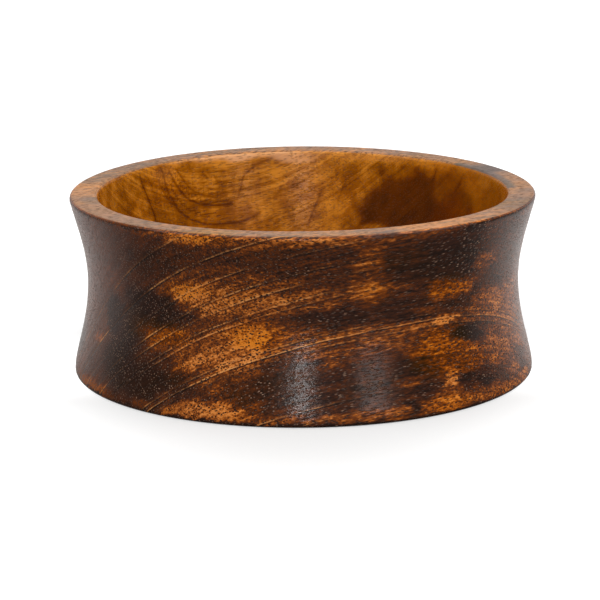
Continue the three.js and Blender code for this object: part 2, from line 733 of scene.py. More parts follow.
@dataclass(frozen=True)
class Patch:
    """A patch of one depth of scorch with a drawn outline of bearings in degrees and heights in millimetres."""

    char: float
    outline: tuple[Pair, ...]
    soft: float = 4.0  # mm over which its edge fades

    def share(self, wall: Wall) -> np.ndarray:
        """How strongly the patch shows at each point of a wall.

        Args:
            wall: the points.

        Returns:
            1 in the patch, a half on its outline and 0 outside it.
        """
        middle = sum(b for b, _ in self.outline) / len(self.outline)
        x, y = wall.beside(middle), wall.height
        scale = math.radians(wall.radius)
        inside = np.zeros(x.shape, bool)
        nearest = np.full(x.shape, np.inf)
        for start, end in zip(self.outline, self.outline[1:] + self.outline[:1]):
            nearest = np.minimum(nearest, np.abs(wall.line_offset(start, end)[0]))
            if start[1] != end[1]:
                crossing = start[0] + (y - start[1]) * (end[0] - start[0]) / (end[1] - start[1]) - middle
                inside ^= ((start[1] > y) != (end[1] > y)) & (x < crossing * scale)
        return eased(0.5 + np.where(inside, nearest, -nearest) / self.soft)


@dataclass(frozen=True)
class Stroke:
    """A soft line of another depth, through points of bearing in degrees and height in millimetres."""

    points: tuple[Pair, ...]
    half_width: float  # mm
    char: float
    strength: float = 1.0

    def share(self, wall: Wall) -> np.ndarray:
        """How strongly the line shows at each point of a wall."""
        offset, _ = self.offset(wall)
        return self.strength * eased(1.5 - np.abs(offset) / self.half_width)

    def offset(self, wall: Wall) -> tuple[np.ndarray, np.ndarray]:
        """Where each point of a wall lies beside the line.

        Args:
            wall: the points.

        Returns:
            Millimetres from the line, positive on its left, and how strongly it shows there, fading to its ends.
        """
        nearest = np.full(wall.bearing.shape, np.inf)
        place = np.zeros(wall.bearing.shape)
        for index, (start, end) in enumerate(zip(self.points, self.points[1:])):
            offset, along = wall.line_offset(start, end)
            closer = np.abs(offset) < np.abs(nearest)
            nearest = np.where(closer, offset, nearest)
            place = np.where(closer, index + along, place)
        from_end = np.minimum(place, len(self.points) - 1 - place)
        return nearest, self.strength * eased(from_end * 1.6)


@dataclass(frozen=True)
class ScorchPlan:
    """All patches and lines of one face of the bowl, over a depth that holds where there is none."""

    ground: float
    layers: tuple[Mark | Patch | Stroke, ...]

    def depth(self, wall: Wall) -> np.ndarray:
        """Lays the later patches and lines over the earlier ones.

        Args:
            wall: the points.

        Returns:
            The scorch at each point.
        """
        char = np.full(wall.bearing.shape, self.ground)
        for layer in self.layers:
            char += (layer.char - char) * layer.share(wall)
        return char


def marks(*rows: tuple[float, ...]) -> tuple[Mark, ...]:
    """Ovals from rows of bearing, height, half width, half rise, char and climb."""
    return tuple(Mark(*row) for row in rows)


OUTSIDE_DARKS = marks(
    (-48, 84, 16, 14, 0.68), (-64, 86, 9, 14, 0.55), (-40, 80, 9, 9, 0.8), (-42, 55, 11, 10, 0.92),
    (-44, 16, 14, 10, 0.93), (-54, 34, 7, 20, 0.95), (-30, 17, 5, 4, 0.84, 0.5), (-8, 20, 8, 9, 0.84),
    (-4, 55, 6, 3, 0.7), (-61, 50, 9, 20, 0.62), (32, 84, 14, 12, 0.86), (42, 82, 9, 14, 0.9),
    (26, 57, 7, 6, 0.8), (8, 56, 10, 3.5, 0.86), (42, 55, 5, 4, 0.8), (48, 63, 4, 7, 0.82),
    (56, 66, 8, 5, 0.74), (12, 20, 14, 13, 0.8), (27, 28, 5, 7, 0.9), (31, 16, 4, 7, 0.84),
    (46, 13, 5, 5, 0.76), (52, 15, 4, 7, 0.76), (67, 18, 8, 7, 0.6), (62, 86, 12, 12, 0.7),
    (22, 60, 5, 4, 0.86), (-22, 20, 3, 6, 0.46), (-20, 85, 12, 9, 0.66), (-6, 82, 9, 8, 0.74),
    (6, 82, 7, 9, 0.68), (24, 92, 5, 4, 0.72), (-61, 64, 9, 8, 0.54), (34, 55, 4, 3, 0.66),
    (72, 40, 14, 22, 0.37), (-78, 50, 9, 70, 0.5), (-68, 34, 7, 12, 0.6), (82, 44, 8, 70, 0.45),
)
OUTSIDE_PATCHES = (
    # the band left light under the rim
    Patch(0.3, ((-64, 97), (-60, 101), (-20, 101), (0, 101), (20, 101), (40, 101), (38, 97.5), (30, 96.5),
                (20, 95), (8, 94), (0, 93.5), (-14, 93.5), (-24, 93), (-31, 92), (-36, 94.5), (-50, 96.5)), 4.0),
    # upper left
    Patch(0.52, ((-42, 67), (-35, 76), (-28, 80), (-19, 83.5), (-9, 80), (1, 75), (0, 64), (-10, 55), (-26, 51),
                 (-32, 56), (-36, 62))),
    Patch(0.24, ((-32, 64), (-32, 69), (-30, 72), (-27, 74), (-19, 72), (-10, 69.5), (0, 67.5), (1, 64),
                 (-6, 60), (-12, 57), (-18, 55), (-25, 54), (-28, 57), (-30, 61)), 6.0),
    # middle left
    Patch(0.42, ((-45, 41), (-42, 44), (-34, 44), (-29, 48.5), (-22, 53), (-8, 54), (-4, 50), (4, 49), (2, 39),
                 (-6, 35), (-12, 28), (-18, 24), (-24, 22.5), (-31, 23), (-34, 30), (-37, 34), (-40, 32),
                 (-43, 32), (-44, 36)), 5.0),
    Patch(0.2, ((-27, 30), (-29, 33), (-26, 37), (-20, 41), (-10, 41), (-9, 37), (-13, 33), (-18, 29), (-22, 26.5),
                (-26, 27)), 5.0),
    Patch(0.02, ((-19, 41), (-18, 46), (-15, 50), (-10, 51), (-8, 46), (-9, 40), (-13, 38)), 6.0),
    Patch(0.4, ((-42, 33), (-40, 38), (-41, 42), (-36, 42), (-35, 38), (-37, 35)), 4.0),
    # lower left
    Patch(0.3, ((-37, 1), (-33, 7), (-30, 10.5), (-22, 12), (-18, 13.5), (-16, 8), (-8, 6.5), (2, 6), (2, 1)), 3.0),
    # right of the middle
    Patch(0.48, ((0, 73.5), (6, 71), (9, 69), (10, 64), (6, 59), (-4, 58), (-3, 68)), 5.5),
    Patch(0.5, ((11, 72), (12, 84), (11.5, 96), (20, 96), (18.5, 84), (19, 72)), 4.5),
    Patch(0.48, ((10, 68), (11, 73), (15, 76), (20, 73), (26, 70), (21, 67), (18, 62), (13, 63)), 5.0),
    Patch(0.2, ((12.5, 67), (14, 71.5), (17, 73), (19.5, 70.5), (18, 66.5), (15, 65)), 5.0),
    Patch(0.4, ((32.5, 61), (33, 68), (36, 70.5), (42, 69), (49, 67.5), (46, 61), (39, 59), (34, 58.5)), 5.0),
    Patch(0.4, ((47.5, 74), (48.5, 80), (52, 81), (55, 77), (57, 73.5), (53, 71.5), (49.5, 71.5)), 5.0),
    Patch(0.38, ((46.5, 50), (47.5, 57), (52, 60), (60, 58), (65, 53), (65, 46), (62, 40), (56, 41), (50, 46)), 5.0),
    Patch(0.36, ((53, 21), (54, 34), (57, 40), (63, 40), (67, 31), (66, 22), (58, 17)), 5.0),
    # along the strongest ring
    Patch(0.5, ((-2, 36), (3, 44), (10, 48.5), (20, 50), (33, 51), (42, 51), (52, 46), (50, 43.5), (42, 44),
                 (30, 41.5), (18, 40), (8, 36), (0, 33)), 5.0),
    Patch(0.52, ((4, 30), (7, 37), (14, 40), (19, 40), (17, 35), (9, 30)), 5.0),
    Patch(0.3, ((19, 45.5), (22, 49.5), (33, 49.5), (33, 46), (26, 44.5)), 3.0),
    # amber, lower right
    Patch(0.46, ((28, 33), (29, 38), (31, 41.5), (40, 42), (45, 37), (51, 34), (54, 30), (53, 23), (49, 19), (42, 20),
                 (36, 23), (32, 29)), 5.0),
    Patch(0.27, ((31, 34), (31, 38.5), (34, 40), (41, 38), (44, 35), (48, 32), (45, 30), (40, 33), (35, 32)), 5.0),
    Patch(0.3, ((42, 24), (43, 30), (47, 31.5), (49, 26), (46, 22)), 4.0),
    Patch(0.26, ((36, 12), (36.5, 18), (37, 22.5), (40, 23), (41, 18), (40, 12)), 3.5),
    Patch(0.38, ((27, 1), (28, 8), (33, 11), (36, 15), (40.5, 15), (42, 10), (51, 9), (58, 7), (70, 6), (70, 1)), 4.0),
)
OUTSIDE_BRIGHTS = marks(
    (-30, 66, 5, 5, 0.06), (-19, 62.5, 5.5, 4.5, 0.1, 0.4), (-24, 57.5, 5, 2, 0.14, 0.4),
    (-27, 98, 5, 3, 0.12), (-8, 98.5, 9, 2, 0.16), (8, 98.5, 8, 2, 0.2), (-26, 7, 5, 3, 0.2),
    (-19, 8, 3.5, 4, 0.12), (-33, 5, 2.5, 3, 0.22), (-15.5, 32, 6.5, 1.8, 0.02, 0.75), (-26, 29, 4, 4, 0.1),
    (-42, 5, 3, 2.2, 0.48), (-65, 30, 3.5, 2, 0.34), (-65, 7, 4.5, 3, 0.5), (-12, 95.5, 12, 3, 0.36),
    (-21, 47, 4, 3, 0.24), (-10, 57, 5, 3, 0.46, 0.4), (-3, 61, 5, 2.5, 0.42, 0.3),
    (3, 47, 4, 3, 0.42, 0.3), (-14, 25, 4, 3, 0.55, 0.5), (1, 68, 4.5, 2.5, 0.28), (15, 85, 3.5, 2.2, 0.36),
    (9, 46, 8, 1.8, 0.34, 0.3), (38, 48.4, 5, 2.0, 0.08), (22, 39, 2.5, 2.6, 0.36), (38, 6, 3.6, 3.8, 0.16),
    (45, 5, 5, 2.5, 0.3), (6, 5, 4, 2, 0.36), (15.5, 5, 3, 3.4, 0.3), (22, 5.5, 2.6, 3.4, 0.22),
    (50, 9, 5, 3, 0.5), (-35, 10, 3, 4, 0.62), (29.5, 6, 2, 3, 0.4), (26, 20, 4.5, 2.6, 0.5),
    (35, 36.5, 4, 2, 0.2), (44, 19, 3, 3, 0.42), (28, 35, 3, 4, 0.5), (55, 56, 4, 3, 0.3),
    (60, 49, 4, 4, 0.26), (57, 5, 3, 3, 0.5), (75, 96, 10, 3, 0.45), (-8, 39, 3.5, 4, 0.42),
    (-3, 46, 3, 3, 0.48), (-18, 53.5, 6, 2, 0.48), (-57, 46, 4, 12, 0.93), (0, 25.5, 6, 3, 0.74),
    (47, 26, 7, 6, 0.46), (45, 33, 3, 3, 0.42), (39, 40, 4, 2, 0.42), (-66, 4, 12, 3.5, 0.3),
    (14, 5, 10, 3, 0.36), (57, 4.5, 7, 3, 0.34), (70, 4.5, 7, 3.5, 0.16), (15, 95.5, 4, 2.5, 0.5),
    (24, 98, 5, 1.4, 0.56), (34, 98, 7, 1.5, 0.6), (-28, 96, 5, 1.6, 0.08), (9, 98, 4, 1.5, 0.34),
    (-15, 54, 5, 2, 0.5), (-15, 61, 4, 3, 0.34), (-57, 45, 4, 10, 0.9), (0, 25.5, 6, 3, 0.82),
    (39, 39.5, 4, 2, 0.36), (51, 26, 3, 4, 0.5), (64, 12, 4, 4, 0.4), (-34, 42, 5, 3, 0.3),
    (-20, 47, 5, 2.5, 0.26), (-24.5, 27.5, 3, 2.5, 0.55), (31, 48.5, 4, 1.8, 0.55),
    (42, 37.5, 2.5, 2, 0.72), (-15.5, 56, 3, 1.6, 0.64), (50.5, 36, 3, 2.4, 0.88),
    (34.5, 32.5, 2.6, 2, 0.52), (1, 4.5, 3, 1.8, 0.5), (1.5, 96, 4, 1.6, 0.5), (18.5, 98.5, 4, 1.6, 0.6),
    (39, 99, 4, 1.4, 0.85), (45, 99, 4, 1.4, 0.85), (-18.5, 65, 3, 2, 0.1), (-23, 6.5, 3, 2.4, 0.1),
    (-23.5, 63, 3, 2.2, 0.18), (-19.5, 25.5, 3, 2, 0.42), (-27.5, 19.5, 2.6, 2.4, 0.6),
    (15, 4, 3, 1.8, 0.28), (-0.5, 64, 3, 2, 0.4), (-41.5, 98, 4, 1.6, 0.42), (-15, 30.5, 3, 1.8, 0.28),
    (-11.5, 10, 3, 2.5, 0.6), (-28.5, 56.5, 2.6, 2.4, 0.5), (21.5, 5, 2.6, 2, 0.28),
)
OUTSIDE_OVERBURNS_AND_FOOT_SHADE = (
    Patch(0.98, ((41, 41), (43.5, 44), (48, 44), (51, 41), (52, 37.5), (49, 34.5), (45, 35.5), (42, 38)), 2.0),
    *marks((25.7, 7, 1.2, 4, 0.93), (43.8, 16.5, 3, 2.6, 0.95), (50, 12, 2.6, 3.4, 0.9)),
    Stroke(((-80, 97.6), (-50, 97.6), (-34, 97.8)), 0.9, 0.97, 0.85),
    Stroke(((42, 97.4), (62, 97.4), (88, 97.4)), 1.0, 0.97, 0.9),
    # painted shade: a near-black line along the turned-under foot, round the front and the sides
    Stroke(((-100, 0.6), (0, 0.6), (100, 0.6)), 1.0, 0.97, 0.9),
)
OUTSIDE_BACK = marks(
    (95, 45, 10, 14, 0.4), (93, 49, 5, 7, 0.15), (104, 80, 9, 6, 0.5), (112, 20, 12, 9, 0.4),
    (115, 17, 6, 4, 0.12), (128, 66, 14, 9, 0.4), (124, 68, 7, 5, 0.12), (134, 63, 5, 3, 0.18),
    (150, 40, 9, 12, 0.5), (148, 44, 4, 5, 0.3), (140, 98, 22, 3, 0.3), (165, 78, 8, 7, 0.5),
    (178, 18, 14, 9, 0.42), (174, 16, 6, 5, 0.14), (186, 56, 11, 6, 0.45), (190, 57, 5, 3, 0.25),
    (205, 86, 10, 6, 0.5), (214, 36, 13, 10, 0.4), (210, 38, 5, 5, 0.08), (218, 32, 4, 3, 0.2),
    (232, 64, 8, 10, 0.42), (240, 12, 10, 6, 0.4), (237, 10, 5, 3, 0.2), (262, 44, 9, 9, 0.45),
    (260, 46, 4, 4, 0.28), (285, 62, 8, 8, 0.55), (200, 98.5, 26, 2.6, 0.34), (262, 98.5, 16, 2.6, 0.34),
    (100, 98.5, 12, 2.4, 0.4), (108, 58, 12, 5, 0.56), (118, 88, 12, 6, 0.5), (138, 30, 14, 7, 0.55),
    (152, 84, 12, 6, 0.54), (164, 36, 8, 12, 0.5), (163, 34, 4, 5, 0.22), (196, 12, 12, 5, 0.5),
    (200, 44, 8, 6, 0.55), (222, 84, 12, 7, 0.52), (224, 50, 7, 8, 0.5), (246, 30, 10, 8, 0.52),
    (247, 62, 9, 7, 0.52), (258, 12, 8, 6, 0.5), (268, 74, 8, 8, 0.55), (178, 92, 12, 4, 0.5),
    (180, 70, 5, 6, 0.3), (152, 6, 10, 4, 0.36), (216, 6, 12, 4, 0.34), (104, 6, 8, 4, 0.4),
    (-91, 28, 8, 13, 0.78), (-95, 78, 9, 10, 0.8), (-92, 54, 6, 7, 0.28), (-90, 7, 7, 4, 0.3),
    (120, 44, 8, 7, 0.9), (160, 60, 9, 6, 0.9), (200, 70, 12, 5, 0.88), (195, 30, 5, 6, 0.9),
    (228, 22, 8, 6, 0.92), (248, 84, 12, 8, 0.88), (140, 18, 10, 7, 0.9), (272, 22, 12, 10, 0.88),
)
# Scorch ovals for the inside. The lightest ones along the top, near the back, are painted highlights where the inner
# edge catches the light.
INSIDE_SCORCH_AND_HIGHLIGHTS = marks(
    (205, 90, 60, 10, 0.15), (200, 54, 46, 12, 0.26), (196, 100, 32, 4, 0.05), (199, 98, 5, 3, 0.0),
    (181, 97, 9, 4, 0.0), (125, 80, 12, 13, 0.46), (147, 68, 21, 25, 0.62), (152, 58, 13, 18, 0.84),
    (132, 70, 12, 13, 0.74), (144, 74, 10, 16, 0.84), (148, 87, 6, 11, 0.56), (160, 90, 7, 11, 0.3),
    (131, 86, 5, 7, 0.52), (138, 96, 4, 6, 0.3), (112, 84, 9, 13, 0.34), (170, 68, 6, 16, 0.2),
    (188, 74, 7, 12, 0.17), (206, 68, 9, 9, 0.3), (228, 72, 12, 12, 0.26), (248, 90, 10, 12, 0.24),
    (246, 72, 9, 14, 0.32), (216, 69, 3, 3, 0.4), (20, 70, 26, 20, 0.4), (226, 92, 7, 6, 0.12),
    (164, 75, 5, 9, 0.22), (133, 81, 5, 6, 0.5), (146, 80, 8, 10, 0.8), (152, 92, 8, 7, 0.4),
    (125, 76, 7, 9, 0.6), (220, 60, 12, 5, 0.34), (166, 60, 5, 7, 0.26), (157, 54, 6, 5, 0.3),
    (160, 97, 26, 3.5, 0.12), (118, 88, 6, 5, 0.26), (194, 81, 5, 5, 0.15), (104, 88, 6, 8, 0.34),
    (310, 60, 22, 18, 0.3), (60, 40, 26, 16, 0.45), (255, 34, 30, 12, 0.35), (177, 56.5, 5, 4, 0.16),
    (179, 79.5, 4, 3, 0.3), (171, 90.5, 5, 5, 0.16), (190, 74, 5, 4, 0.16), (255, 84, 4, 4, 0.16),
    (219, 86.5, 4, 5, 0.16), (113, 92.5, 4, 3, 0.2), (217, 94, 4, 4, 0.16), (136.5, 96.5, 4, 3, 0.16),
    (233, 86.5, 4, 6, 0.32), (196.5, 76.5, 4, 3, 0.34), (199.5, 88.5, 4, 3, 0.3), (209.5, 64, 4, 3, 0.4),
    (160, 84, 5, 5, 0.24),
)
INSIDE_STROKES = (
    Stroke(((236.5, 98), (235.5, 92), (234, 84), (233, 80), (232, 76), (231, 71), (231, 64)), 0.76, 0.8, 0.55),
    Stroke(((229, 94), (227, 86), (225, 79), (222, 72), (219, 66)), 0.8, 0.8, 0.35),
    Stroke(((222, 98), (219, 89), (216, 82), (212, 77), (207, 75), (202, 76)), 0.8, 0.8, 0.35),
    Stroke(((213, 84), (209, 80), (204, 79.5), (200, 82)), 0.8, 0.8, 0.3),
    Stroke(((208, 90), (207, 85), (204.5, 83), (202, 86)), 0.8, 0.8, 0.3),
    Stroke(((227.5, 99), (226, 94), (225, 86), (224, 81), (223, 77), (221, 71), (219, 67), (216.5, 64), (213, 61.5),
            (210, 60), (206, 59.5), (202, 59.5), (198, 60.5), (195, 62.5), (192, 65.5)), 0.95, 0.85, 0.46),
    Stroke(((224, 97), (222, 88), (220, 82), (218, 78), (216, 75), (213, 72.5), (209, 71), (204, 70.4), (201, 71)),
           0.9, 0.85, 0.5),
    Stroke(((188, 97), (191, 94.5), (195, 91), (198, 86), (198.5, 82), (199.5, 77), (200.5, 72)), 1.04, 0.65, 0.37),
    Stroke(((206.5, 88), (205, 83), (205, 79), (206.5, 75)), 0.85, 0.7, 0.37),
    Stroke(((212, 92), (210, 88), (209.5, 84)), 0.85, 0.6, 0.31),
    Stroke(((186, 80), (187.5, 75), (190, 71)), 0.85, 0.6, 0.28),
    Stroke(((173.5, 79), (175, 72), (176, 66), (177.5, 60), (178, 54)), 0.85, 0.75, 0.4),
    Stroke(((166, 84), (168, 75), (169, 68)), 1.04, 0.5, 0.25),
    Stroke(((135.5, 97), (136.5, 90), (138, 84)), 0.76, 0.85, 0.37),
    Stroke(((246, 97), (245, 88), (243, 80)), 1.14, 0.4, 0.25),
    Stroke(((124, 96), (126, 88), (129, 80)), 0.95, 0.6, 0.25),
    Stroke(((30, 92), (24, 76), (12, 64), (-4, 60), (-18, 66), (-26, 80)), 1.04, 0.8, 0.37),
    Stroke(((44, 94), (36, 74), (20, 54), (-4, 47), (-28, 56), (-40, 78)), 1.04, 0.75, 0.37),
    Stroke(((64, 90), (58, 70), (50, 52)), 0.95, 0.7, 0.31),
    Stroke(((300, 92), (306, 72), (316, 54)), 0.95, 0.7, 0.31),
)
GOLDEN_AREAS = marks(
    (37, 32, 10, 12, 1.0), (46, 26, 6, 8, 0.9), (17, 68, 6, 6, 0.6), (-12, 46, 8, 8, 0.75),
    (-40, 42, 10, 7, 0.8), (-30, 68, 7, 5, 0.6), (36, 6, 8, 5, 0.6), (39, 66, 7, 6, 0.8),
    (52, 54, 6, 8, 0.6), (-25, 97, 10, 4, 0.6), (124, 68, 14, 10, 0.8), (210, 38, 12, 10, 0.7),
    (240, 10, 12, 8, 0.6), (174, 16, 12, 8, 0.7), (-62, 60, 12, 14, 0.1), (-22, 8, 8, 6, 0.2),
    (6, 62, 8, 8, 0.1), (62, 30, 8, 12, 0.1), (26, 48, 8, 5, 0.2),
)
RIM_PATCHES = (
    *marks(
        (70, 7, 9, 40, 0.62), (118, 7, 6, 40, 0.9), (92, 7, 9, 40, 0.28), (34, 7, 11, 40, 0.06),
        (6, 7, 13, 40, 0.36), (150, 7, 5, 40, 0.45), (240, 7, 14, 40, 0.5), (268, 7, 9, 40, 0.14),
        (282, 4, 5, 5, 0.62), (256, 9, 4, 5, 0.6), (86, 9, 4, 5, 0.5), (78, 4, 4, 4, 0.5),
        (314, 7, 10, 40, 0.5), (343, 7, 9, 40, 0.42), (200, 7, 18, 40, 0.4),
    ),
    Stroke(((92, 1.5), (128, 1.5)), 2.6, 0.95, 0.8),
)


@dataclass(frozen=True)
class ScorchWork:
    """The scorching of the whole bowl, with painted shade along the foot and painted highlights along the top of the
    inside, stored on the mesh. How far marks wander is in degrees and millimetres.
    """

    wander: Pair = (1.0, 1.3)
    inner_wander: Pair = (0.4, 0.5)
    rim_wander: float = 0.5
    wander_pitch: float = 11.0  # mm between wanders
    # Where the sideways and the upward wander are read. noise.noise gives the same values in every run, and
    # noise.noise_vector doesn't.
    wander_origins: tuple[tuple[float, float, float], ...] = ((0.0, 0.0, 0.0), (37.2, 11.8, 53.4))
    feather: float = 5.0  # mm that the edges of a patch run out along a growth ring
    feather_pitch: tuple[float, float, float] = (26.0, 14.0, 1.9)  # mm along the grain, round a ring, across it
    wall_radius: float = 118.0
    rim_inner_radius: float = 112.6
    outside: ScorchPlan = ScorchPlan(0.72, (*OUTSIDE_DARKS, *OUTSIDE_PATCHES, *OUTSIDE_BRIGHTS, *OUTSIDE_OVERBURNS_AND_FOOT_SHADE,
                                            *OUTSIDE_BACK))
    rim: ScorchPlan = ScorchPlan(0.36, RIM_PATCHES)
    inside: ScorchPlan = ScorchPlan(0.2, INSIDE_SCORCH_AND_HIGHLIGHTS)
    veins: tuple[Stroke, ...] = INSIDE_STROKES
    gold: ScorchPlan = ScorchPlan(0.3, GOLDEN_AREAS)
    underside: float = 0.45
    far_off: float = 9.0  # mm beyond which a vein isn't followed

    def _run_out(self, places: np.ndarray, block: Block) -> np.ndarray:
        """How far the scorch has crept along the growth rings at each point.

        Args:
            places: points of the surface, in millimetres.
            block: where the grain and the rings lie.

        Returns:
            Millimetres to the right and upwards.
        """
        grain, out, up = (np.array(axis) for axis in block.axes())
        away, above = places @ out + block.pith_front, places @ up + block.pith_below
        ring = np.hypot(away, above)
        layers = np.stack([places @ grain, np.arctan2(above, away) * RING_ARC, ring], 1) / self.feather_pitch
        creep = self.feather * np.array([noise.noise(Vector(p)) for p in layers])
        outward = unit(np.stack([places[:, 0], places[:, 1], 0.0 * ring], 1))
        climb = away[:, None] * out + above[:, None] * up
        trace = unit(np.cross(outward, climb / ring[:, None]))
        sideways = trace[:, 0] * -outward[:, 1] + trace[:, 1] * outward[:, 0]
        return creep[:, None] * np.stack([sideways, trace[:, 2]], 1)

    def paint(self, mesh: bpy.types.Mesh, block: Block) -> None:
        """Writes the scorch on every vertex.

        Args:
            mesh: a mesh in metres that holds the attribute zone.
            block: where the grain and the rings lie.
        """
        count = len(mesh.vertices)
        places = np.empty(count * 3)
        mesh.vertices.foreach_get("co", places)
        places = places.reshape(-1, 3) * METRE
        zone = np.empty(count)
        mesh.attributes["zone"].data.foreach_get("value", zone)
        bearing, height = np.degrees(np.arctan2(places[:, 0], -places[:, 1])), places[:, 2]
        sway = np.array([[noise.noise(Vector(p) + Vector(origin)) for origin in self.wander_origins]
                         for p in places / self.wander_pitch])
        creep = self._run_out(places, block)
        inner = Wall(bearing + self.inner_wander[0] * sway[:, 0], height + self.inner_wander[1] * sway[:, 1],
                     self.wall_radius)
        bearing = bearing + self.wander[0] * sway[:, 0] + np.degrees(creep[:, 0] / self.wall_radius)
        outer = Wall(bearing, height + self.wander[1] * sway[:, 1] + creep[:, 1], self.wall_radius)
        across = np.hypot(places[:, 0], places[:, 1]) - self.rim_inner_radius + self.rim_wander * sway[:, 1]
        land = Wall(bearing, across, self.wall_radius)
        char = np.full(count, self.underside)
        for plan, face, wall in ((self.outside, Zone.OUTSIDE, outer), (self.rim, Zone.RIM, land),
                                 (self.inside, Zone.INSIDE, inner)):
            here = np.abs(zone - face) < 0.5
            char[here] = plan.depth(Wall(wall.bearing[here], wall.height[here], self.wall_radius))
        beside, show = np.full(count, self.far_off), np.zeros(count)
        for vein in self.veins:
            offset, strength = vein.offset(inner)
            closer = np.abs(offset) < np.abs(beside)
            beside, show = np.where(closer, offset, beside), np.where(closer, strength, show)
        painted = {"char": char, "vein": beside, "vein_show": show, "gold": self.gold.depth(outer)}
        for name, values in painted.items():
            layer = mesh.attributes.new(name, "FLOAT", "POINT")
            layer.data.foreach_set("value", values.astype(np.float32))


# Finishes


@dataclass(frozen=True)
class Palette:
    """Colours from bare wood to the darkest scorch, with the depth at which each is reached."""

    stops: tuple[tuple[float, Colour], ...]


STAINED = Palette((
    (0.0, (0.67, 0.235, 0.052)), (0.2, (0.39, 0.11, 0.0165)), (0.42, (0.165, 0.042, 0.0085)),
    (0.62, (0.086, 0.0245, 0.0085)), (0.82, (0.041, 0.0155, 0.009)), (1.0, (0.019, 0.0095, 0.0068)),
))
# The rim's colours, paler and greyer than its bare wood: part of the rim's sheen is painted into them.
SANDED_WITH_PAINTED_SHEEN = Palette((
    (0.0, (0.56, 0.245, 0.085)), (0.4, (0.325, 0.172, 0.094)), (0.8, (0.165, 0.114, 0.09)),
    (1.0, (0.085, 0.068, 0.062)),
))
HONEY = Palette((
    (0.0, (0.64, 0.25, 0.022)), (0.3, (0.315, 0.0985, 0.0004)), (0.6, (0.14, 0.0345, 0.0005)),
    (1.0, (0.045, 0.011, 0.0003)),
))


@dataclass(frozen=True)
class Ground:
    """Wires that every layer of the finish is worked out from."""

    bench: Bench
    place: Place
    scorch: Wire
    outside: Wire
    inside: Wire
    land: Wire  # the flat of the rim
    facing_ends: Wire
    fibre: Wire
    mottle: Wire
    bands: Wire
    gloss: Wire

    @classmethod
    def of(cls, bench: Bench, block: Block, waviness: float) -> "Ground":
        """Works the wires out.

        Args:
            bench: the material's tree.
            block: where the grain and the rings lie.
            waviness: how far the rings wander, in millimetres.

        Returns:
            The wires.
        """
        point = bench.scaled(bench.node("ShaderNodeTexCoord", output="Object"), METRE)
        place, zone = Place.at(point, block, waviness), bench.attribute("zone")
        outside = bench.step(zone, Zone.OUTSIDE + 0.85, Zone.OUTSIDE + 0.6)
        inside = bench.step(zone, Zone.RIM + 0.45, Zone.RIM + 0.6)
        return cls(bench, place, bench.attribute("char"), outside, inside, (1.0 - outside) * (1.0 - inside),
                   facing_ends=bench.step(bench.math("ABSOLUTE", place.along), 0.0, 60.0),
                   fibre=bench.noise(place.stretched(9.0), 1.5, 2.0, 0.6) - 0.5,
                   mottle=bench.noise(place.stretched(3.5), 0.8, 2.0, 0.65) - 0.5,
                   bands=bench.bands(place.ring * 0.55, 3.0, 0.6) - 0.5,
                   gloss=bench.noise(point, 0.09, 3.0))


